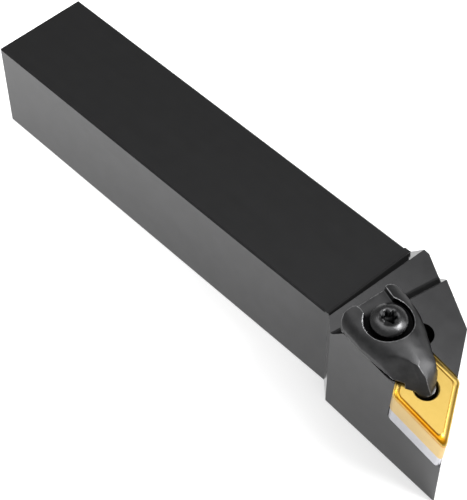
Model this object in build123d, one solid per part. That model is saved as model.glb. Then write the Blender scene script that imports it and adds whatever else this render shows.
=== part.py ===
"""External turning tool holder, left hand, with a clamped 55 degree insert.

Frame: millimetres, +X from the butt end to the cutting tip, +Y to the back side of the shank,
+Z up. The origin is the centre of the butt end's face.
"""
import os
from math import cos, pi, radians, sin, tan

from build123d import *

# ---- driving dimensions: holder ------------------------------------------------------------
shank_width = 25.0            # across Y
shank_height = 25.0           # across Z
overall_length = 150.0        # butt end to cutting tip
head_length = 38.5            # where the head starts, back from the cutting tip
functional_width = 32.0       # back side of the shank to the cutting tip
tip_height = 25.0             # underside of the shank to the cutting tip
edge_break = 0.4              # underside, butt end and the shank's top edges
edge_break_length = 110.5     # of the breaks along the shank's top
lead_angle = 3.0              # how far the long cutting edge leans past the feed direction
shoulder_angle = 42.0         # upright face that steps the head out past the shank
far_chamfer_start = 5.6       # from the head's start to the far chamfer
far_chamfer_angle = 27.0
near_face_inset = 1.6         # head's near face, inside the cutting edge
front_face_inset = 0.5        # head's front face, inside the end edge

# ---- driving dimensions: seat, tilted about the cutting tip ---------------------------------
seat_fall = 7.0               # degrees down towards +X
seat_rise = 6.0               # degrees up towards +Y
head_above_insert = 0.6       # head's top plane over the insert's top
deck_depth = 4.1              # deck behind the clamp, below the head's top plane
shank_ramp_angle = 48.0       # slope from the shank's top up to the deck
shank_ramp_setback = -0.25    # foot of that slope, behind the head's start, on the middle
shank_ramp_skew = 1.8         # foot runs forward to the far side, degrees
shank_ramp_fillet = 1.0
heel_ramp_angle = 57.0        # slope that draws the clamp back as it is tightened
heel_ramp_start = 3.7         # top of that slope, behind the clamp screw's axis
heel_groove_fillet = 1.0
heel_crest_fillet = 0.35
seat_clearance = 0.03
relief_radius = 2.6           # round relief at the pocket's closed corner
relief_along = 3.1            # its place along the far wall, from the insert's corner
relief_beyond = 1.1           # its place beyond the far wall
corner_relief_radius = 0.9

# ---- driving dimensions: insert and shim ----------------------------------------------------
insert_angle = 55.0
insert_circle = 12.7          # inscribed circle
insert_thickness = 6.35
nose_radius = 0.8
obtuse_radius = 1.5
insert_bore = 5.16
insert_bore_chamfer = 0.45
land_width = 0.3
groove_depth = 0.4
groove_width = 1.15
groove_land_slope = 54.0      # groove's side under the land, from upright
groove_plateau_slope = 20.0   # groove's side under the flat middle, from upright
plateau_point_radius = 0.7
shim_thickness = 4.76
shim_inset = 0.12
shim_chamfer = 0.3

# ---- driving dimensions: shim screw ---------------------------------------------------------
shim_screw_diameter = 3.5
shim_screw_head = 5.0
shim_screw_head_height = 1.9
shim_screw_length = 11.0
shim_screw_socket = 2.5
shim_screw_socket_depth = 1.2
shim_screw_sink = 0.4         # head's top below the shim's top

# ---- driving dimensions: clamp --------------------------------------------------------------
clamp_reach = 14.8            # screw axis to the insert's hole
clamp_swing = 13.6            # clamp's axis, turned towards the cutting tip
clamp_half_width = 7.35
clamp_side_shift = 0.3        # body's middle, to the near side of the screw's axis
clamp_rear = 7.2              # rear face, behind the screw axis
clamp_height = 5.7            # crown, above the head's top plane
clamp_rear_height = 5.2
clamp_gap = 0.3               # underside above the head's top plane
clamp_far_radius = 2.4        # rear corner on the far side
clamp_near_radius = 2.8       # rear corner on the near side
clamp_near_rear = 6.45        # rearmost of that corner, behind the screw axis
clamp_near_bulge = 0.3        # that corner, out past the near flank
clamp_shoulder_radius = 3.2
clamp_front_radius = 1.5
clamp_nose_half_width = 4.3
clamp_shoulder = 1.0          # where the sides begin to close in, from the screw axis
clamp_arch_half_width = 7.75  # arch over the screw, wider than the flanks
clamp_front_half_width = 6.7  # arch in front of the screw
clamp_middle_half_width = 5.5
clamp_middle_height = 4.9
clamp_beak_half_width = 4.6
clamp_beak_start_height = 3.4
clamp_point_half_width = 2.8
clamp_beak_length = 3.0       # crest of the two facets at the tip, along the axis
clamp_beak_height = 3.1       # crest where the facets begin
clamp_beak_slope = 27.0       # facets fall away from the crest
clamp_rear_radius = 3.0       # rounding of the rear, seen from the side
heel_depth = 3.5              # heel's lowest edge, below the head's top plane
heel_clearance = 0.03
pin_diameter = 4.4            # nose that drops into the insert's hole
pin_depth = 2.2
pin_chamfer = 0.5
pad_radius = 4.2
counterbore_radius = 5.25
counterbore_floor = 2.6       # above the head's top plane
counterbore_mouth = 3.6       # half the opening to the rear
horn_radius = 1.5             # inner corner of the near horn, beside that opening
horn_end = 6.6                # end of the near horn, behind the screw axis
clamp_bore = 4.5

# ---- driving dimensions: clamp screw, ring and spring ---------------------------------------
screw_diameter = 4.0
screw_pitch = 0.7
screw_head_diameter = 8.4
screw_rim_height = 1.9        # straight side of the head
screw_dome_height = 1.2
screw_ring_diameter = 4.6     # flat ring round the socket
screw_tip = 14.0              # end of the screw, below the head's top plane
screw_tip_chamfer = 0.5
screw_hole_depth = 19.0
socket_size = 3.35            # across the lobes
socket_root = 2.4             # across the flutes
socket_depth = 2.1
thread_clearance = 0.05
ring_groove_diameter = 3.2
ring_diameter = 4.3
ring_thickness = 0.45
ring_opening = 2.4
ring_clearance = 0.05
spring_wire = 0.6
spring_coil_diameter = 5.2    # centre line of the wire
spring_turns = 4.5
spring_pocket_depth = 7.2
spring_pocket_clearance = 0.3
spring_end_clearance = 0.05


# ---- derived places -------------------------------------------------------------------------
shank_length = overall_length - head_length
tip_y = shank_width / 2 - functional_width
tip_z = tip_height - shank_height / 2
far = 3 * (shank_width + shank_height)       # longer than the head in any direction
ramp_corner = shank_length - shank_ramp_setback
ramp_turn = Pos(ramp_corner, 0, 0) * Rot(0, 0, -shank_ramp_skew)


def on_seat(x, y):
    """Lift a plan direction onto the tilted seat."""
    lifted = Vector(x, y, y * tan(radians(seat_rise)) - x * tan(radians(seat_fall)))
    return lifted.normalized()


seat_normal = Vector(tan(radians(seat_fall)), -tan(radians(seat_rise)), 1).normalized()
nose_centre = Vector(overall_length - nose_radius, tip_y + nose_radius, tip_z)
edge_direction = on_seat(cos(radians(lead_angle)), -sin(radians(lead_angle)))
nose_plane = Plane(origin=nose_centre, x_dir=edge_direction, z_dir=seat_normal)

half_angle = radians(insert_angle / 2)
long_half = insert_circle / 2 / sin(half_angle)      # centre to a sharp corner
bisector = pi - half_angle                           # nose to centre, in the nose plane
nose_to_centre = long_half - nose_radius / sin(half_angle)
insert_plane = Plane(
    origin=nose_plane.from_local_coords(
        Vector(nose_to_centre * cos(bisector), nose_to_centre * sin(bisector), 0)
    ),
    x_dir=edge_direction,
    z_dir=seat_normal,
)

clamp_direction = on_seat(cos(radians(clamp_swing)), -sin(radians(clamp_swing)))
clamp_origin = (
    insert_plane.origin - clamp_direction * clamp_reach + seat_normal * head_above_insert
)
clamp_plane = Plane(origin=clamp_origin, x_dir=clamp_direction, z_dir=seat_normal)
clamp_side_plane = Plane(
    origin=clamp_origin, x_dir=clamp_direction, z_dir=-clamp_plane.y_dir
)

insert_bottom = -insert_thickness
shim_bottom = insert_bottom - shim_thickness
pin_centre = clamp_reach - insert_bore / 2 + pin_diameter / 2 + seat_clearance
clamp_tip = pin_centre + pin_diameter / 2
pad_level = -head_above_insert
screw_top = counterbore_floor + screw_rim_height + screw_dome_height
near_corner = Pos(
    clamp_near_radius - clamp_near_rear,
    clamp_near_radius - clamp_half_width - clamp_near_bulge - clamp_side_shift,
)


# ---- shared outlines ------------------------------------------------------------------------
def corner_vertices(outline, points):
    """Vertices of an outline that lie on the given points."""
    return [v for v in outline.vertices() for p in points if (Vector(v) - p).length < 1e-3]


def rhombus(circle, sharp_radius, blunt_radius):
    """Insert outline about its centre, with its long near edge along +X."""
    sharp = Vector(circle / 2 / sin(half_angle), 0).rotate(Axis.Z, -insert_angle / 2)
    blunt = Vector(circle / 2 / cos(half_angle), 0).rotate(Axis.Z, 90 - insert_angle / 2)
    outline = Polygon(sharp, blunt, -sharp, -blunt, align=None)
    outline = fillet(corner_vertices(outline, [sharp, -sharp]), sharp_radius)
    return fillet(corner_vertices(outline, [blunt, -blunt]), blunt_radius)


def disc(radius, bottom, top):
    """Upright cylinder between two levels."""
    return Pos(0, 0, bottom) * extrude(Circle(radius), top - bottom)


def turned(*points):
    """Solid of revolution about Z from its half section, given as (radius, height)."""
    return revolve(Plane.XZ * Polygon(*points, align=None), Axis.Z)


# ---- insert and shim ------------------------------------------------------------------------
def chip_groove():
    """Groove between the cutting land and the flat middle of one face, cut from level 0 down."""
    outer = insert_circle - 2 * land_width
    inner = outer - 2 * groove_width
    outer_floor = outer - 2 * groove_depth * tan(radians(groove_land_slope))
    inner_floor = inner + 2 * groove_depth * tan(radians(groove_plateau_slope))
    point = nose_radius - land_width
    bowl = loft([
        rhombus(outer, point, obtuse_radius),
        Pos(0, 0, -groove_depth) * rhombus(outer_floor, point, obtuse_radius),
    ])
    plateau = loft([
        rhombus(inner, plateau_point_radius, obtuse_radius),
        Pos(0, 0, -groove_depth) * rhombus(inner_floor, plateau_point_radius, obtuse_radius),
    ])
    return bowl - plateau


def make_insert():
    """Double-sided insert: top face at level 0, bore on Z."""
    body = Pos(0, 0, insert_bottom) * extrude(
        rhombus(insert_circle, nose_radius, obtuse_radius), insert_thickness
    )
    groove = chip_groove()
    body -= groove
    body -= Pos(0, 0, insert_bottom) * mirror(groove, about=Plane.XY)
    body -= disc(insert_bore / 2, insert_bottom - 1, 1)
    rim = insert_bore / 2 + insert_bore_chamfer
    flare = turned((0, 0), (rim, 0), (rim - insert_bore_chamfer, -insert_bore_chamfer),
                   (0, -insert_bore_chamfer))
    body -= flare
    body -= Pos(0, 0, insert_bottom) * mirror(flare, about=Plane.XY)
    return insert_plane * body


def make_shim():
    """Carbide seat under the insert, with a stepped hole for its screw."""
    outline = rhombus(insert_circle - 2 * shim_inset, nose_radius, obtuse_radius)
    body = Pos(0, 0, shim_bottom) * extrude(outline, shim_thickness)
    body = chamfer(body.faces().sort_by(Axis.Z)[0].edges(), shim_chamfer)
    body -= disc(shim_screw_diameter / 2 + 0.2, shim_bottom - 1, insert_bottom + 1)
    seat_radius = shim_screw_head / 2 + 0.15
    seat_level = insert_bottom - shim_screw_sink - shim_screw_head_height
    body -= disc(seat_radius, seat_level, insert_bottom + 1)
    return insert_plane * body


def make_shim_screw():
    top = insert_bottom - shim_screw_sink
    under = top - shim_screw_head_height
    tip = top - shim_screw_length
    head, shank = shim_screw_head / 2, shim_screw_diameter / 2
    body = turned((0, top), (head, top), (head, under), (shank, under),
                  (shank, tip + screw_tip_chamfer), (shank - screw_tip_chamfer, tip), (0, tip))
    hexagon = RegularPolygon(shim_screw_socket / 2, 6, major_radius=False)
    body -= Pos(0, 0, top - shim_screw_socket_depth) * extrude(hexagon, far)
    return insert_plane * body


# ---- holder ---------------------------------------------------------------------------------
def plan_outline():
    """Shank and head seen from above."""
    lean = radians(lead_angle)
    end_lean = radians(90 - lead_angle - insert_angle)
    near_out = Vector(-sin(lean), -cos(lean))
    front_out = Vector(cos(end_lean), sin(end_lean))
    centre = Vector(nose_centre.X, nose_centre.Y)
    near_point = centre + near_out * (nose_radius - near_face_inset)
    front_point = centre + front_out * (nose_radius - front_face_inset)
    near_line = (near_point, Vector(cos(lean), -sin(lean)))
    front_line = (front_point, Vector(-sin(end_lean), cos(end_lean)))
    slope = radians(shoulder_angle)
    shoulder = Vector(shank_length, -shank_width / 2)
    shoulder_line = (shoulder, Vector(cos(slope), -sin(slope)))
    fall = radians(far_chamfer_angle)
    chamfer_start = Vector(shank_length + far_chamfer_start, shank_width / 2)
    chamfer_line = (chamfer_start, Vector(cos(fall), -sin(fall)))
    return Polygon(
        (0, -shank_width / 2), shoulder, crossing(shoulder_line, near_line),
        crossing(near_line, front_line), crossing(front_line, chamfer_line), chamfer_start,
        (0, shank_width / 2), align=None,
    )


def crossing(first, second):
    """Point where two plan lines, each a point and a direction, meet."""
    (p, d), (q, e) = first, second
    reach = ((q.X - p.X) * e.Y - (q.Y - p.Y) * e.X) / (d.X * e.Y - d.Y * e.X)
    return p + d * reach


def shank_profile():
    """Side view: shank's top, then the slope up to the deck from its foot at 0."""
    foot = Vector(0, shank_height / 2)
    crest = foot + Vector(far, far * tan(radians(shank_ramp_angle)))
    outline = Polygon(
        (-far, -far), (-far, foot.Y), foot, crest, (far, -far), align=None
    )
    return fillet(corner_vertices(outline, [foot]), shank_ramp_fillet)


def head_profile():
    """Head's top along the clamp's axis: deck, heel slope and top plane."""
    run = deck_depth / tan(radians(heel_ramp_angle))
    groove = Vector(-heel_ramp_start - run, -deck_depth)
    crest = Vector(-heel_ramp_start, 0)
    outline = Polygon(
        (-far, -deck_depth), groove, crest, (far, 0), (far, -far), (-far, -far), align=None
    )
    outline = fillet(corner_vertices(outline, [groove]), heel_groove_fillet)
    return fillet(corner_vertices(outline, [crest]), heel_crest_fillet)


def pocket():
    """Space for shim and insert, open on the two cutting sides, with a round relief."""
    reach = insert_circle / 2 + seat_clearance
    corner = Vector(-reach / tan(radians(insert_angle)) - reach / sin(radians(insert_angle)), reach)
    slant = Vector(cos(radians(180 - insert_angle)), sin(radians(180 - insert_angle)))
    opening = Polygon(
        corner, corner - slant * far, corner - slant * far + Vector(far, 0),
        corner + Vector(far, 0), align=None,
    )
    relief = Pos(corner.X + relief_along, corner.Y + relief_beyond) * Circle(relief_radius)
    nick = Pos(corner.X, corner.Y) * Circle(corner_relief_radius)
    floor = Pos(0, 0, shim_bottom) * extrude(opening + relief + nick, far)
    return insert_plane * floor


def break_edges(body):
    """Break the edges round the underside and the butt end, and along the shank's top."""
    under = body.faces().sort_by(Axis.Z)[0].edges()
    butt = body.faces().sort_by(Axis.X)[0].edges()
    body = chamfer(under + butt.filter_by(Axis.Z) + butt.sort_by(Axis.Z)[-1:], edge_break)
    corner = Plane.YZ * Polygon((0, 0), (-edge_break, 0), (0, -edge_break), align=None)
    strip = Pos(0, shank_width / 2, shank_height / 2) * extrude(corner, edge_break_length)
    return body - strip - mirror(strip, about=Plane.XZ)


def make_holder():
    body = Pos(0, 0, -shank_height / 2) * extrude(plan_outline(), far)
    body &= ramp_turn * (Plane.XZ * extrude(shank_profile(), far, both=True))
    body &= clamp_side_plane * extrude(head_profile(), far, both=True)
    body = break_edges(body)
    body -= pocket()
    threads = shim_screw_diameter / 2 + thread_clearance
    depth = shim_screw_sink + shim_screw_length - shim_thickness + screw_tip_chamfer
    body -= insert_plane * disc(threads, shim_bottom - depth, shim_bottom + 1)
    body -= clamp_plane * disc(screw_diameter / 2 + thread_clearance, -screw_hole_depth, 1)
    pocket_radius = (spring_coil_diameter + spring_wire + spring_pocket_clearance) / 2
    body -= clamp_plane * disc(pocket_radius, -spring_pocket_depth, 1)
    return body


# ---- clamp ----------------------------------------------------------------------------------
def clamp_outline():
    """Clamp from above: broad rounded rear, sides closing in, pointed nose."""
    def place(x, y, radius):
        return Pos(x, y - clamp_side_shift) * Circle(radius)

    def pair(x, y, radius):
        return [place(x, side * (y - radius), radius) for side in (1, -1)]

    far_corner = clamp_half_width - clamp_far_radius
    circles = [
        place(clamp_far_radius - clamp_rear, far_corner, clamp_far_radius),
        near_corner * Circle(clamp_near_radius),
    ]
    circles += pair(clamp_shoulder, clamp_half_width, clamp_shoulder_radius)
    shoulder = clamp_tip - clamp_beak_length - clamp_front_radius
    circles += pair(shoulder, clamp_nose_half_width, clamp_front_radius)
    circles.append(Pos(pin_centre, 0) * Circle(pin_diameter / 2))
    return make_hull([edge for circle in circles for edge in circle.edges()])


def arch(x, half_width, height):
    """Cross-section of the clamp: upright flanks under half an ellipse."""
    crown = EllipticalCenterArc((0, clamp_gap), half_width, height - clamp_gap, arc_size=180)
    flanks = Polyline((-half_width, clamp_gap), (-half_width, -heel_depth - 1),
                      (half_width, -heel_depth - 1), (half_width, clamp_gap))
    middle = Plane(origin=(x, -clamp_side_shift, 0), x_dir=(0, 1, 0), z_dir=(1, 0, 0))
    return middle * make_face(crown + flanks)


def clamp_arch():
    """Arched body, full over the screw and falling to the nose."""
    beak_start = clamp_tip - clamp_beak_length
    middle = (counterbore_radius + beak_start) / 2
    return loft([
        arch(-clamp_rear - 1, clamp_arch_half_width, clamp_rear_height),
        arch(clamp_shoulder, clamp_arch_half_width, clamp_height),
        arch(counterbore_radius, clamp_front_half_width, clamp_height),
        arch(middle, clamp_middle_half_width, clamp_middle_height),
        arch(beak_start, clamp_beak_half_width, clamp_beak_start_height),
        arch(clamp_tip + 1, clamp_point_half_width, clamp_beak_height / 2),
    ])


def clamp_profile():
    """Side view of the clamp: heel on its slope, level underside, rounded rear."""
    top = clamp_height + 1
    run = heel_depth / tan(radians(heel_ramp_angle))
    ramp_top = -heel_ramp_start - heel_clearance / sin(radians(heel_ramp_angle))
    lift = clamp_gap / tan(radians(heel_ramp_angle))
    rear_top = Vector(-clamp_rear, top)
    outline = Polygon(
        (-clamp_rear, -heel_depth), rear_top, (clamp_tip + 1, top), (clamp_tip + 1, clamp_gap),
        (ramp_top + lift, clamp_gap), (ramp_top - run, -heel_depth), align=None,
    )
    return fillet(corner_vertices(outline, [rear_top]), clamp_rear_radius)


def beak_facets():
    """Everything under the two facets that meet on the crest of the nose."""
    start = Vector(clamp_tip - clamp_beak_length, 0, clamp_beak_height)
    end = Vector(clamp_tip, 0, pad_level)
    across = Plane(origin=start, x_dir=(0, 1, 0), z_dir=(end - start).normalized())
    fall = far * tan(radians(clamp_beak_slope))
    section = Polygon((0, 0), (far, -fall), (far, -2 * far), (-far, -2 * far), (-far, -fall),
                      align=None)
    return across * extrude(section, far, both=True)


def horn_corner():
    """Plan of what lies outside the rounded inner corner of the near horn."""
    corner = Rectangle(far, horn_radius, align=(Align.MAX, Align.MIN)) - Circle(horn_radius)
    return Pos(horn_radius - horn_end, -counterbore_mouth - horn_radius) * corner


def make_clamp():
    outline = clamp_outline()
    body = Pos(0, 0, -heel_depth) * extrude(outline, clamp_height + heel_depth + 1)
    body &= clamp_arch()
    body &= Plane.XZ * extrude(clamp_profile(), far, both=True)
    pad = outline & Pos(pin_centre, 0) * Circle(pad_radius)
    body += Pos(0, 0, pad_level) * extrude(pad, clamp_gap - pad_level + 1)
    body &= beak_facets()
    pin_end = pad_level - pin_depth
    pin = disc(pin_diameter / 2, pin_end, pad_level)
    body += Pos(pin_centre, 0) * chamfer(pin.faces().sort_by(Axis.Z)[0].edges(), pin_chamfer)
    body -= disc(counterbore_radius, counterbore_floor, far)
    mouth = Pos(-far / 2, 0, counterbore_floor) * Box(
        far, 2 * counterbore_mouth, far, align=(Align.CENTER, Align.CENTER, Align.MIN)
    )
    body -= mouth
    body -= Pos(0, 0, counterbore_floor) * extrude(horn_corner(), far)
    body -= disc(clamp_bore / 2, -far, far)
    return clamp_plane * body


# ---- clamp screw, ring and spring -----------------------------------------------------------
def lobed_socket(depth):
    """Six-lobed recess, cut down from level 0."""
    flute = (socket_size - socket_root) / 2
    profile = Circle(socket_size / 2)
    for turn in range(6):
        profile -= Rot(0, 0, 60 * turn + 30) * Pos(socket_root / 2 + flute, 0) * Circle(flute)
    return Pos(0, 0, -depth) * extrude(profile, depth + 1)


def make_screw():
    under = counterbore_floor
    rim = under + screw_rim_height
    head, shank, neck = screw_head_diameter / 2, screw_diameter / 2, ring_groove_diameter / 2
    groove_top = clamp_gap
    groove_bottom = groove_top - ring_thickness - 2 * ring_clearance
    flat = screw_ring_diameter / 2
    dome = RadiusArc((head, rim), (flat, screw_top), -head)
    rest = Polyline(
        (flat, screw_top), (0, screw_top), (0, -screw_tip),
        (shank - screw_tip_chamfer, -screw_tip), (shank, -screw_tip + screw_tip_chamfer),
        (shank, groove_bottom), (neck, groove_bottom), (neck, groove_top), (shank, groove_top),
        (shank, under), (head, under), (head, rim),
    )
    body = revolve(Plane.XZ * make_face(dome + rest), Axis.Z)
    body -= Pos(0, 0, screw_top) * lobed_socket(socket_depth)
    return clamp_plane * body


def make_stop_ring():
    """Open ring in the screw's groove, under the clamp."""
    top = clamp_gap - ring_clearance
    bore = ring_groove_diameter / 2 + ring_clearance
    ring = disc(ring_diameter / 2, top - ring_thickness, top) - disc(bore, -far, far)
    ring -= Pos(ring_diameter / 2, 0, 0) * Box(ring_diameter, ring_opening, far)
    return clamp_plane * ring


def make_spring():
    """Coil between the bottom of its pocket and the clamp's underside, in eight-sided wire."""
    bottom = -spring_pocket_depth + spring_end_clearance + spring_wire / 2
    top = clamp_gap - spring_end_clearance - spring_wire / 2
    radius = spring_coil_diameter / 2
    path = Helix((top - bottom) / spring_turns, top - bottom, radius)
    wire = Plane(origin=path @ 0, z_dir=path % 0) * RegularPolygon(spring_wire / 2, 8)
    return clamp_plane * Pos(0, 0, bottom) * sweep(wire, path)


# ---- all pieces -----------------------------------------------------------------------------
pieces = {
    "holder_body": make_holder,
    "seat_shim": make_shim,
    "shim_screw": make_shim_screw,
    "cutting_insert": make_insert,
    "top_clamp": make_clamp,
    "clamp_screw": make_screw,
    "stop_ring": make_stop_ring,
    "clamp_spring": make_spring,
}

os.makedirs("parts", exist_ok=True)
for node, make in pieces.items():
    export_step(Part() + make(), f"parts/{node}.step")
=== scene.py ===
"""Turning tool holder with a hook clamp and a gold-coated insert, dressed for the studio."""
from math import cos, pi, radians, sin, tan

import bmesh
import bpy
from mathutils import Matrix, Vector


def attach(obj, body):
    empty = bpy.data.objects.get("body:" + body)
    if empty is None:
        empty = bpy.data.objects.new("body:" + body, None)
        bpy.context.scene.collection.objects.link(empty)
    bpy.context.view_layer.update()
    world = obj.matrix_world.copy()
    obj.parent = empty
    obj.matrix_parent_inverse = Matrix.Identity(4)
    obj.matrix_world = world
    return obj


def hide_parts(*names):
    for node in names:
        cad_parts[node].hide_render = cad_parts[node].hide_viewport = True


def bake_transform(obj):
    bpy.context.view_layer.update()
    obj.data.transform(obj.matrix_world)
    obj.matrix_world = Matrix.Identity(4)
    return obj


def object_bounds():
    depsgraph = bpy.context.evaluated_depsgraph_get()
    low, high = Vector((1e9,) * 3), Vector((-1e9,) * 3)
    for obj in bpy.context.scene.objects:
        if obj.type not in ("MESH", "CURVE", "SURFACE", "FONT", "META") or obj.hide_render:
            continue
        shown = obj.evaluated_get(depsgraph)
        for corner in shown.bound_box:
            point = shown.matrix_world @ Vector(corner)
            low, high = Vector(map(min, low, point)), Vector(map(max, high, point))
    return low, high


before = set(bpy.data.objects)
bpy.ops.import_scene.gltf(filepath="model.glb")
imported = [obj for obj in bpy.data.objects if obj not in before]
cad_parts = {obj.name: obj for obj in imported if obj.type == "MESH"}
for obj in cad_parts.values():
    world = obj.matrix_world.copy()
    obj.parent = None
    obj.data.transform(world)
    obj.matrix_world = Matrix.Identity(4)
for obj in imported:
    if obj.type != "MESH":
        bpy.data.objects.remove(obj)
cad_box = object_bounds()
scene = bpy.context.scene
mm = 0.001

# ---- sizes in millimetres and degrees -----------------------------------------------------------
seat_fall = 7.0               # insert's seat, down towards the tip
seat_rise = 6.0               # and up towards the far side
lead_angle = 3.0              # long cutting edge, turned past the feed direction
clamp_swing = 13.6            # clamp, turned towards the cutting tip
clamp_reach = 14.8            # clamp screw's axis to the middle of the insert
head_above_insert = 0.6       # clamp screw's foot over the insert's top face

insert_circle = 12.7          # inscribed circle
insert_thickness = 6.35
insert_bore = 5.16
bore_flare = 0.25
half_angle = radians(27.5)    # half of the insert's sharp corner
nose_radius = 0.8
blunt_radius = 1.5
edge_drop = 0.03              # rounding of the cutting edge
groove_inner = 1.32           # flat middle, inside the cutting edge
groove_outer = 0.2            # land, inside the cutting edge
groove_depth = 0.36
groove_inner_corner = 0.75    # radius of its sharp corners, at the flat middle and at the land
groove_outer_corner = 0.62
groove_lean = 0.85            # under 1, the dish is deepest nearer the flat middle
groove_fullness = 0.9         # under 1, its sides are steeper than a sine's
groove_steps = 9
corner_steps = 17

counterbore_radius = 5.25
counterbore_floor = 2.6
near_cut = ((13.0, 0.1, 3.4), (0.53, -0.62, 0.58))     # point on it, and the way it faces
far_cut = ((12.6, 0.6, 3.15), (0.50, 0.36, 0.79))
far_side_fullness = (0.03, 0.11, 0.26)     # forward, across and up, for each mm across
horn_fullness = (-0.25, -0.3, 0)           # forward, across and up
casting_grid = 0.13           # of the remesh that rounds the clamp's edges
casting_passes = 3            # smoothing of the whole clamp
crown_passes = 60             # and of where the near cut runs out
far_side_passes = 900         # and of where the far cut rolls over

solid_head_radius = 4.2       # clamp screw's head in the frame, and as it is turned here
head_radius = 3.92
head_levels = (2.4, 5.8)
socket_radius = 2.15
shank_radius = 2.0
root_radius = 1.6             # thread's root, and the levels that it is turned between
root_top = -1.1
root_bottom = -20.0
thread_pitch = 0.7
thread_depth = 0.46
thread_flank = 0.322          # half of the ridge at its root, and at its crest
thread_crest = 0.05
thread_start = -13.4
thread_turns = 17.5
thread_steps = 40             # to a turn

spring_radius = 2.6           # to the middle of the wire
wire_radius = 0.3
wire_sides = 16
spring_bottom = -6.85
spring_top = -0.05
spring_turns = 4.5
spring_steps = 48             # to a turn

# ---- the clamp's axes: forward to the tip, across to the far side, up along the screw -----------
clamp_up = Vector((tan(radians(seat_fall)), -tan(radians(seat_rise)), 1)).normalized()


def lifted(angle):
    """Direction on the tilted seat that has this angle to the shank in plan, in degrees."""
    direction = Vector((cos(radians(angle)), -sin(radians(angle)), 0))
    direction.z = -direction.dot(clamp_up) / clamp_up.z
    return direction.normalized()


clamp_forward = lifted(clamp_swing)
clamp_across = clamp_up.cross(clamp_forward)
edge_forward = lifted(lead_angle)
insert_foot = Vector((138.9971, -12.6340, 14.3903)) * mm      # middle of the insert's top face
clamp_foot = insert_foot + (clamp_up * head_above_insert - clamp_forward * clamp_reach) * mm


def along_clamp(forward, across, up):
    return clamp_forward * forward + clamp_across * across + clamp_up * up


def at_clamp(forward, across, up):
    """Point given in millimetres from the foot of the clamp screw, along the clamp's axes."""
    return clamp_foot + along_clamp(forward, across, up) * mm


def clamp_place(point):
    """Forward, across and up of a point, in millimetres."""
    away = (point - clamp_foot) / mm
    return away.dot(clamp_forward), away.dot(clamp_across), away.dot(clamp_up)


def eased(value, low, high):
    """Smooth step from 0 to 1 while a number goes from low to high."""
    share = min(max((value - low) / (high - low), 0), 1)
    return share * share * (3 - 2 * share)


# ---- studio -------------------------------------------------------------------------------------
def make_camera():
    lens = bpy.data.cameras.new("studio_camera")
    lens.lens = 110.8
    lens.sensor_width = 36.0
    lens.clip_start = 0.01
    lens.clip_end = 5.0
    camera = bpy.data.objects.new("studio_camera", lens)
    scene.collection.objects.link(camera)
    right = Vector((0.69022, 0.72358, -0.00582))
    up = Vector((-0.56253, 0.54162, 0.62466))
    back = Vector((0.45514, -0.42788, 0.78087))
    turn = Matrix((right, up, back)).transposed().to_4x4()
    camera.matrix_world = Matrix.Translation((0.23764, -0.15833, 0.27418)) @ turn
    scene.camera = camera


def make_floor(finish):
    deselect()
    bpy.ops.mesh.primitive_plane_add(size=4.0, location=(0.1, 0, cad_box[0][2]))
    floor = bpy.context.object
    floor.name = "floor"
    bpy.ops.object.transform_apply()
    floor.data.materials.append(finish)


def soft_light(name, place, aim, size, power):
    lamp = bpy.data.lights.new(name, "AREA")
    lamp.shape = "RECTANGLE"
    lamp.size, lamp.size_y = size
    lamp.energy = power
    stand = bpy.data.objects.new(name, lamp)
    scene.collection.objects.link(stand)
    stand.location = place
    stand.rotation_euler = (Vector(aim) - Vector(place)).to_track_quat("-Z", "Y").to_euler()


def hang_lights():
    """Boxes above the head and the butt end, a key box and a low box beyond the tip, a dim room."""
    head = (0.13, -0.01, 0.01)
    soft_light("overhead_box", (0.22, -0.14, 0.62), (0.22, -0.14, 0), (0.66, 0.66), 2.6)
    soft_light("near_box", (-0.30, -0.30, 0.62), (-0.25, -0.28, 0), (0.36, 0.44), 1.0)
    soft_light("key_box", (0.57, 0.21, 0.50), head, (0.30, 0.34), 6.4)
    soft_light("far_box", (0.60, 0.42, 0.22), head, (0.30, 0.30), 1.2)
    room = bpy.data.worlds.new("dim_room")
    room.use_nodes = True
    room.node_tree.nodes["Background"].inputs["Color"].default_value = (0.42, 0.42, 0.42, 1)
    scene.world = room
    scene.view_settings.view_transform = "Standard"


# ---- shader arithmetic --------------------------------------------------------------------------
class Value:
    """A number that varies over a surface and takes part in ordinary sums."""

    def __init__(self, finish, socket):
        self.finish = finish
        self.socket = socket

    def work_out(self, operation, first, second):
        return self.finish.node("Math", {"operation": operation}, {0: first, 1: second})

    def __add__(self, other):
        return self.work_out("ADD", self, other)

    __radd__ = __add__

    def __sub__(self, other):
        return self.work_out("SUBTRACT", self, other)

    def __rsub__(self, other):
        return self.work_out("SUBTRACT", other, self)

    def __mul__(self, other):
        return self.work_out("MULTIPLY", self, other)

    __rmul__ = __mul__

    def __pow__(self, other):
        return self.work_out("POWER", self, other)

    def __rpow__(self, other):
        return self.work_out("POWER", other, self)


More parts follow.
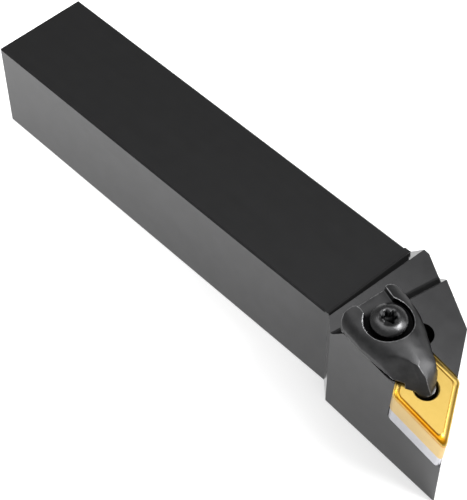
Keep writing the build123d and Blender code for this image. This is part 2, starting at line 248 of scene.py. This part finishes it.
class Finish:
    """One procedural finish, built from nodes that all come from one method."""

    def __init__(self, name):
        self.material = bpy.data.materials.new(name)
        self.material.use_nodes = True
        self.tree = self.material.node_tree
        self.tree.nodes.clear()
        self.place = self.node("TexCoord", out="Object")

    def node(self, kind, settings=None, feeds=None, out=0):
        """Adds a node, its settings first and then the values or links of its sockets."""
        node = self.tree.nodes.new("ShaderNode" + kind)
        for name, setting in (settings or {}).items():
            setattr(node, name, setting)
        for name, feed in (feeds or {}).items():
            if isinstance(feed, Value):
                self.tree.links.new(feed.socket, node.inputs[name])
            else:
                node.inputs[name].default_value = feed
        return Value(self, node.outputs[out]) if len(node.outputs) else node

    def spots(self, scale, detail=2.0, roughness=0.5, stretch=(1, 1, 1)):
        """Noise whose grains are 1/scale metres across, stretched along an axis."""
        place = self.node("Mapping", {}, {"Vector": self.place, "Scale": stretch})
        return self.node("TexNoise", {}, {
            "Vector": place, "Scale": scale, "Detail": detail, "Roughness": roughness})

    def ease(self, value, low, high, start=0.0, end=1.0):
        """Smooth step of a value from start to end while it goes from low to high."""
        return self.node("MapRange", {"interpolation_type": "SMOOTHSTEP"}, {
            "Value": value, "From Min": low, "From Max": high, "To Min": start, "To Max": end})

    def reach(self, distance, start, full):
        """Share of a finish that is 0 at one distance and 1 at another, in millimetres."""
        return self.ease(distance, start * mm, full * mm)

    def blend(self, share, first, second):
        """Colour between two colours."""
        return self.node("Mix", {"data_type": "RGBA"}, {0: share, 6: first, 7: second}, out=2)

    def dot(self, vector, axis):
        return self.node("VectorMath", {"operation": "DOT_PRODUCT"}, {0: vector, 1: axis}, out=1)

    def along(self, axis, origin=(0, 0, 0)):
        """Distance in metres from a point along an axis."""
        away = self.node("VectorMath", {"operation": "SUBTRACT"}, {0: self.place, 1: origin})
        return self.dot(away, axis)

    def clamp_axes(self):
        """Forward, across, up and radius of each spot, in metres from the clamp screw's foot."""
        forward, across, up = [
            self.along(axis, clamp_foot) for axis in (clamp_forward, clamp_across, clamp_up)]
        return forward, across, up, (forward * forward + across * across) ** 0.5

    def edge_highlight_share(self, low, high):
        """Share of painted highlight where the piece's own sharpness, in millimetres, is high."""
        sharpness = self.node("Attribute", {"attribute_name": "sharpness"}, out="Fac")
        return self.ease(sharpness, low, high)

    def relief(self, height, strength, distance):
        return self.node("Bump", {}, {
            "Height": height, "Strength": strength, "Distance": distance * mm})

    def surface(self, colour, rough, metal=1.0, normal=None, **others):
        """Ends the finish with its shader, and gives the material."""
        feeds = {"Base Color": colour, "Roughness": rough, "Metallic": metal}
        feeds.update({name.replace("_", " "): value for name, value in others.items()})
        if normal:
            feeds["Normal"] = normal
        shader = self.node("BsdfPrincipled", {}, feeds)
        self.node("OutputMaterial", {}, {"Surface": shader})
        return self.material


def grey(level):
    return (level, level, level * 1.02, 1)


# ---- finishes -----------------------------------------------------------------------------------
def black_oxide():
    """Ground steel under black oxide: satin, duller on the shank's top, glossy on the slopes.
    Painted shade darkens the top faces, and painted shadow makes the head's backward slopes nearly
    black.
    """
    f = Finish("black_oxide")
    mottle = f.spots(260, 4)
    lines = f.spots(900, 2, 0.6, (0.02, 1, 1))
    grain = f.spots(5200, 2)
    facing = f.node("NewGeometry", out="True Normal")
    on_head = f.reach(f.along((1, 0, 0)), 100, 101)
    # painted shadow: slopes on the head that face the butt end are made nearly black, and glossier
    slope_shadow_and_gloss = f.ease(f.dot(facing, (-1, 0, 0)), 0.55, 0.7) * on_head
    # painted shade: faces that look straight up are made darker, and duller
    top = f.ease(f.dot(facing, (0, 0, 1)), 0.995, 0.999)
    skin = f.blend(f.ease(mottle, 0.35, 0.65), grey(0.056), grey(0.062))
    colour = f.blend(top, f.blend(slope_shadow_and_gloss, skin, grey(0.02)), grey(0.04))
    rough = (0.2 + 0.05 * mottle + 0.04 * lines) * (1 - 0.6 * slope_shadow_and_gloss) * (1 + 0.9 * top)
    return f.surface(colour, rough, 1.0, f.relief(grain + 0.5 * lines, 0.05, 0.04))


def cast_black():
    """Investment-cast clamp: blasted and blackened, with painted shade in the pocket round the
    screw and painted highlights on its edges.
    """
    f = Finish("cast_black")
    forward, across, up, radius = f.clamp_axes()
    mottle = f.spots(420, 4)
    grain = f.spots(3600, 3)
    skin = f.blend(f.ease(mottle, 0.3, 0.7), grey(0.038), grey(0.052))
    # painted shade: nearly black on the counterbore wall round the screw head, and on the pocket
    # floor under the head and beside the near horn
    wall_shade = f.reach(radius, counterbore_radius + 0.23, counterbore_radius + 0.01)
    wall_shade = wall_shade * f.reach(radius, counterbore_radius - 0.25, counterbore_radius - 0.10)
    wall_shade = wall_shade * f.reach(up, counterbore_floor + 0.1, counterbore_floor + 0.5)
    under_head = f.reach(forward, -5.0, -3.0) * f.reach(radius, 3.6, 4.0)
    beside_horn = f.reach(across, -3.0, -3.4)
    ledge_shade = f.ease(under_head + beside_horn, 0.0, 1.0) * f.reach(radius, 7.2, 6.8)
    ledge_shade = ledge_shade * f.reach(up, counterbore_floor + 0.5, counterbore_floor + 0.2)
    ledge_shade = ledge_shade * f.reach(up, counterbore_floor - 0.8, counterbore_floor - 0.3)
    pocket_shade = f.blend(wall_shade + ledge_shade, skin, grey(0.004))
    # painted highlight: lighter grey on the sharpest edges, in patches
    edge_highlight = f.edge_highlight_share(0.010, 0.045) * f.ease(mottle, 0.2, 0.6, 0.55, 1.0)
    colour = f.blend(edge_highlight, pocket_shade, grey(0.30))
    rough = 0.38 + 0.12 * mottle
    return f.surface(colour, rough, 1.0, f.relief(grain, 0.25, 0.05))


def phosphated():
    """Dark screw, turned: fine rings round its own axis, painted shade in the socket and in the gap
    at the rim.
    """
    f = Finish("phosphated")
    up, radius = f.clamp_axes()[2:]
    mottle = f.spots(700, 3)
    skin = f.blend(f.ease(mottle, 0.3, 0.7), grey(0.052), grey(0.07))
    # painted shade: darker in the socket, and nearly black low on the head's rim where it meets the
    # counterbore
    socket = f.reach(radius, socket_radius, socket_radius - 0.25) * f.reach(up, 5.55, 5.3)
    rim_shade = f.reach(radius, head_radius - 0.16, head_radius - 0.04) * f.reach(up, 4.7, 4.4)
    colour = f.blend(rim_shade, f.blend(socket, skin, grey(0.018)), grey(0.006))
    rings = f.node("Math", {"operation": "SINE"}, {0: radius * 42000})
    lathe = 0.5 * rings + f.spots(1500, 2)
    rough = 0.24 + 0.1 * mottle + 0.04 * rings
    return f.surface(colour, rough, 1.0, f.relief(lathe, 0.2, 0.02))


def gold_coat():
    """Thin gold-coloured coating, paler on the ground flanks, with painted shade in the near
    groove: a deeper orange that darkens towards the tip.
    """
    f = Finish("gold_coat")
    depth = f.along(-clamp_up, insert_foot)
    to_tip = f.along(edge_forward, insert_foot)
    to_near_edge = f.along(edge_forward.cross(clamp_up), insert_foot)
    mottle = f.spots(900, 3)
    flat = f.blend(mottle, (0.52, 0.355, 0.088, 1), (0.58, 0.405, 0.112, 1))
    # painted shade: deeper, darker orange in the near groove, darkest towards the tip
    groove_shade_colour = f.blend(f.reach(to_tip, -6, 4), (0.70, 0.42, 0.05, 1), (0.56, 0.24, 0.008, 1))
    groove = f.reach(depth, 0.03, 0.2) * f.reach(to_near_edge, 4.2, 5.0)
    side = f.blend(mottle, (0.58, 0.41, 0.15, 1), (0.66, 0.48, 0.21, 1))
    colour = f.blend(f.reach(depth, 0.4, 0.7), f.blend(groove, flat, groove_shade_colour), side)
    grain = f.spots(5200, 2)
    return f.surface(colour, 0.3 + 0.12 * mottle, 1.0, f.relief(grain, 0.12, 0.03))


def ground_carbide():
    """Bare carbide of the seat, ground."""
    f = Finish("ground_carbide")
    mottle = f.spots(800, 3)
    colour = f.blend(mottle, (0.46, 0.46, 0.49, 1), (0.56, 0.56, 0.59, 1))
    return f.surface(colour, 0.32 + 0.1 * mottle, 1.0, f.relief(f.spots(4800, 2), 0.1, 0.03))


def drawn_wire():
    """Bright spring wire, as drawn."""
    f = Finish("drawn_wire")
    mottle = f.spots(1200, 3)
    colour = f.blend(mottle, grey(0.42), grey(0.55))
    return f.surface(colour, 0.25 + 0.1 * mottle)


def paper_white():
    """White table that glows as a light table does, with a painted pool of light that is brighter
    towards the butt end.
    """
    f = Finish("paper_white")
    # painted light: the table's glow fades from the butt end towards the tip
    glow = f.ease(f.along((1, 0, 0)), -0.06, 0.16, 1.0, 0.42)
    shade = f.blend(glow, (0, 0, 0, 1), (1, 1, 1, 1))
    return f.surface((0.60, 0.60, 0.60, 1), 0.9, 0.0, Emission_Color=shade, Emission_Strength=0.92)


# ---- modelling ----------------------------------------------------------------------------------
def deselect():
    bpy.ops.object.select_all(action="DESELECT")


def take_up(piece):
    """Makes a piece the only selected and active one."""
    deselect()
    piece.select_set(True)
    bpy.context.view_layer.objects.active = piece


def edit_all(piece):
    """Takes a piece into edit mode with all of it selected."""
    take_up(piece)
    bpy.ops.object.mode_set(mode="EDIT")
    bpy.ops.mesh.select_all(action="SELECT")


def stop_editing():
    bpy.ops.object.mode_set(mode="OBJECT")


def cast_of(node, name):
    """Merged copy of a node's mesh, as the start of a finished piece."""
    piece = bpy.data.objects.new(name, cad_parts[node].data.copy())
    scene.collection.objects.link(piece)
    edit_all(piece)
    bpy.ops.mesh.remove_doubles(threshold=0.002 * mm)
    stop_editing()
    return piece


def shave(piece, place, outward):
    """Cuts off all that lies beyond a plane of the clamp and closes the cut."""
    edit_all(piece)
    bpy.ops.mesh.bisect(plane_co=at_clamp(*place), plane_no=along_clamp(*outward),
                        use_fill=True, clear_outer=True)
    stop_editing()


def score(piece, level):
    """Cuts a ring of edges round the clamp screw's axis at a level, and takes nothing off."""
    edit_all(piece)
    bpy.ops.mesh.bisect(plane_co=at_clamp(0, 0, level), plane_no=clamp_up)
    stop_editing()


def add_modifier(piece, kind, **settings):
    modifier = piece.modifiers.new(kind.lower(), kind)
    for name, value in settings.items():
        setattr(modifier, name, value)
    take_up(piece)
    bpy.ops.object.modifier_apply(modifier=modifier.name)


def smooth_where(piece, name, weight, passes):
    """Smooths a piece by a weight that is a function of place along the clamp's axes."""
    group = piece.vertex_groups.new(name=name)
    for vertex in piece.data.vertices:
        share = weight(*clamp_place(vertex.co))
        if share > 0:
            group.add([vertex.index], min(share, 1.0), "REPLACE")
    add_modifier(piece, "SMOOTH", factor=0.5, iterations=passes, vertex_group=name)


def measure_sharpness(piece):
    """Keeps at each vertex how far it stands out from a smoothed copy of the piece."""
    before = [vertex.co.copy() for vertex in piece.data.vertices]
    normals = [vertex.normal.copy() for vertex in piece.data.vertices]
    softened = piece.copy()
    softened.data = piece.data.copy()
    scene.collection.objects.link(softened)
    add_modifier(softened, "SMOOTH", factor=0.5, iterations=14)
    attribute = piece.data.attributes.new("sharpness", "FLOAT", "POINT")
    for place, normal, after, value in zip(before, normals, softened.data.vertices, attribute.data):
        value.value = (place - after.co).dot(normal) / mm
    bpy.data.objects.remove(softened)


def stand_on(piece, forward, foot):
    """Carries a piece that was built about the world's origin to its place on the seat."""
    turn = Matrix((forward, clamp_up.cross(forward), clamp_up)).transposed()
    piece.data.transform(Matrix.Translation(foot) @ turn.to_4x4())


def face_outwards():
    bpy.ops.mesh.select_all(action="SELECT")
    bpy.ops.mesh.normals_make_consistent(inside=False)


def smooth_by_angle(piece, angle):
    take_up(piece)
    bpy.ops.object.shade_smooth_by_angle(angle=radians(angle))


def dress(piece, finish, node):
    """Gives a new piece its finish and lets it stand for a node of the frame."""
    piece.data.materials.clear()
    piece.data.materials.append(finish)
    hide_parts(node)


def refinish(node, finish):
    """Gives a node of the frame its finish."""
    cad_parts[node].data.materials.clear()
    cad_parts[node].data.materials.append(finish)


# ---- insert -------------------------------------------------------------------------------------
def select_vertices(chosen):
    """Selects the vertices of the mesh being edited for which a test holds."""
    mesh = bmesh.from_edit_mesh(bpy.context.edit_object.data)
    for vertex in mesh.verts:
        vertex.select_set(chosen(vertex))
    mesh.select_flush_mode()
    bmesh.update_edit_mesh(bpy.context.edit_object.data)


def round_corners(places, run):
    """Rounds the corners that stand at these places, over a run along each side."""
    select_vertices(lambda vertex: any((vertex.co - place).length < 1e-9 for place in places))
    bpy.ops.mesh.bevel(offset=run * mm, segments=corner_steps, affect="VERTICES")


def lay_rhombus(circle, sharp, blunt, level):
    """Adds a rhombus with rounded corners, about an inscribed circle, to the mesh being edited."""
    bpy.ops.mesh.primitive_circle_add(vertices=4, radius=mm, location=(0, 0, level * mm))
    mesh = bmesh.from_edit_mesh(bpy.context.edit_object.data)
    corners = [vertex for vertex in mesh.verts if vertex.select]
    for corner in corners:
        corner.co.x *= circle / 2 / sin(half_angle)
        corner.co.y *= circle / 2 / cos(half_angle)
    places = [corner.co.copy() for corner in corners]
    bmesh.update_edit_mesh(bpy.context.edit_object.data)
    round_corners([place for place in places if abs(place.x) > abs(place.y)],
                  sharp / tan(half_angle))
    round_corners([place for place in places if abs(place.x) < abs(place.y)],
                  blunt * tan(half_angle))


def lay_circle(radius, level):
    bpy.ops.mesh.primitive_circle_add(
        vertices=4 * (corner_steps + 1), radius=radius * mm, location=(0, 0, level * mm))


def join_rings(levels):
    """Bridges rings stacked a millimetre apart, the last to the first, then sets their levels."""
    count = len(levels)
    for ring in range(count):
        pair = (ring, (ring + 1) % count)
        select_vertices(lambda vertex: round(vertex.co.z / mm) in pair)
        bpy.ops.mesh.bridge_edge_loops()
    mesh = bmesh.from_edit_mesh(bpy.context.edit_object.data)
    for vertex in mesh.verts:
        vertex.co.z = levels[round(vertex.co.z / mm)] * mm
    bmesh.update_edit_mesh(bpy.context.edit_object.data)


def insert_rings():
    """Rings of one face from the bore outwards: flare, flat middle, dished groove, land.

    A bore's ring is a radius and a level. The others are an inscribed circle, the radii of the
    sharp and the blunt corners, and a level.
    """
    rings = [(insert_bore / 2, -bore_flare), (insert_bore / 2 + bore_flare, 0)]
    for step in range(groove_steps + 1):
        share = step / groove_steps
        inset = groove_inner + (groove_outer - groove_inner) * share
        corner = groove_inner_corner + (groove_outer_corner - groove_inner_corner) * share
        dish = 0
        if 0 < step < groove_steps:
            dish = -groove_depth * sin(pi * share ** groove_lean) ** groove_fullness
        rings.append((insert_circle - 2 * inset, corner, blunt_radius, dish))
    rings.append((insert_circle - 2 * edge_drop, nose_radius - edge_drop,
                  blunt_radius - edge_drop, 0))
    rings.append((insert_circle, nose_radius, blunt_radius, -edge_drop))
    return rings


def make_chip_groove_insert(finish):
    """Double-sided rhombic insert with a dished chip groove round each face."""
    deselect()
    bpy.ops.mesh.primitive_circle_add(vertices=3, radius=mm)
    insert = bpy.context.object
    insert.name = "chip_groove_insert"
    edit_all(insert)
    bpy.ops.mesh.delete(type="VERT")
    face = insert_rings()
    back = [ring[:-1] + (-insert_thickness - ring[-1],) for ring in reversed(face)]
    for number, ring in enumerate(face + back):
        bpy.ops.mesh.select_all(action="DESELECT")
        lay = lay_circle if len(ring) == 2 else lay_rhombus
        lay(*ring[:-1], number)
    join_rings([ring[-1] for ring in face + back])
    face_outwards()
    stop_editing()
    insert.data.transform(Matrix.Rotation(-half_angle, 4, "Z"))
    stand_on(insert, edge_forward, insert_foot)
    smooth_by_angle(insert, 32)
    dress(insert, finish, "cutting_insert")
    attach(insert, "holder")


# ---- hook clamp ---------------------------------------------------------------------------------
def fill_out(clamp):
    """Sets the nose's far side and the near horn a little further out."""
    for vertex in clamp.data.vertices:
        forward, across, up = clamp_place(vertex.co)
        far_side = eased(forward, 9.5, 13) * eased(up, -0.5, 0.5) * max(across - 0.2, 0)
        horn = eased(-forward, -2, 3) * eased(-across, 4.2, 6.4) * eased(up, -3, 0)
        vertex.co += along_clamp(*far_side_fullness) * far_side * mm
        vertex.co += along_clamp(*horn_fullness) * horn * mm


def crown_share(forward, across, up):
    """Where the near cut runs out smoothly into the crown."""
    return eased(-forward, -10.5, -8) * (forward > 5.6) * (up > 0.6)


def far_side_share(forward, across, up):
    """Where the far cut rolls over into the crown."""
    along = eased(forward, 8.0, 11) * eased(-forward, -16.2, -15.2)
    return along * eased(across, 0.4, 1.2) * (up > 0.2)


def make_hook_clamp(finish):
    """Cast clamp, its nose cut on both sides to a crest, its edges rounded as a casting's are."""
    clamp = cast_of("top_clamp", "hook_clamp")
    shave(clamp, *near_cut)
    shave(clamp, *far_cut)
    add_modifier(clamp, "REMESH", mode="VOXEL", voxel_size=casting_grid * mm)
    add_modifier(clamp, "SMOOTH", factor=0.5, iterations=casting_passes)
    fill_out(clamp)
    smooth_where(clamp, "crown", crown_share, crown_passes)
    smooth_where(clamp, "far_side", far_side_share, far_side_passes)
    measure_sharpness(clamp)
    take_up(clamp)
    bpy.ops.object.shade_smooth()
    dress(clamp, finish, "top_clamp")
    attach(clamp, "clamp")


# ---- clamp screw and spring ---------------------------------------------------------------------
def wound_ridge(name, radius, profile, start, pitch, turns, steps):
    """Helix of a small polygon, given as (outwards, upwards) corners in millimetres."""
    deselect()
    bpy.ops.mesh.primitive_circle_add(vertices=len(profile), radius=mm)
    ridge = bpy.context.object
    ridge.name = name
    for vertex, (outwards, upwards) in zip(ridge.data.vertices, profile):
        vertex.co = Vector((radius + outwards, 0, start + upwards)) * mm
    count = round(steps * turns)
    add_modifier(ridge, "SCREW", axis="Z", angle=2 * pi * turns, screw_offset=pitch * turns * mm,
                 iterations=1, steps=count, render_steps=count, use_normal_calculate=True)
    edit_all(ridge)
    bpy.ops.mesh.fill_holes(sides=len(profile))
    face_outwards()
    stop_editing()
    stand_on(ridge, clamp_forward, clamp_foot)
    return ridge


def turn_down(piece, inner, outer, new_outer, bottom, top):
    """Draws in what stands outside a radius, between two levels, as a lathe would."""
    for vertex in piece.data.vertices:
        forward, across, up = clamp_place(vertex.co)
        radius = (forward * forward + across * across) ** 0.5
        if radius > inner and bottom < up < top:
            drawn = inner + (radius - inner) * (new_outer - inner) / (outer - inner)
            vertex.co = at_clamp(forward * drawn / radius, across * drawn / radius, up)


def make_turned_screw(finish):
    """Dome-headed clamp screw with a six-lobe socket and a cut thread."""
    screw = cast_of("clamp_screw", "turned_clamp_screw")
    turn_down(screw, socket_radius + 0.15, solid_head_radius, head_radius, *head_levels)
    for level in (root_top + 0.2, root_top - 0.1, thread_start + 0.2):
        score(screw, level)
    turn_down(screw, shank_radius / 2, shank_radius, root_radius, root_bottom, root_top)
    ridge = [(-thread_depth, -thread_flank), (0, -thread_crest),
             (0, thread_crest), (-thread_depth, thread_flank)]
    thread = wound_ridge("thread", shank_radius, ridge, thread_start, thread_pitch,
                         thread_turns, thread_steps)
    take_up(screw)
    thread.select_set(True)
    bpy.ops.object.join()
    smooth_by_angle(screw, 24)
    dress(screw, finish, "clamp_screw")
    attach(screw, "screw")


def make_coil_spring(finish):
    """Round-wire spring under the clamp, pressed between it and its pocket."""
    steps = [2 * pi * side / wire_sides for side in range(wire_sides)]
    wire = [(wire_radius * cos(step), wire_radius * sin(step)) for step in steps]
    spring = wound_ridge("coil_spring", spring_radius, wire, spring_bottom,
                         (spring_top - spring_bottom) / spring_turns, spring_turns, spring_steps)
    smooth_by_angle(spring, 40)
    dress(spring, finish, "clamp_spring")
    tuple(at_clamp(0, 0, spring_bottom))
    tuple(at_clamp(0, 0, spring_top))
    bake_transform(spring)


# ---- the whole tool -----------------------------------------------------------------------------
make_camera()
make_floor(paper_white())
dark_screw, carbide, wire = phosphated(), ground_carbide(), drawn_wire()
refinish("holder_body", black_oxide())
make_hook_clamp(cast_black())
make_turned_screw(dark_screw)
refinish("shim_screw", dark_screw)
make_chip_groove_insert(gold_coat())
refinish("seat_shim", carbide)
refinish("stop_ring", wire)
make_coil_spring(wire)
hang_lights()
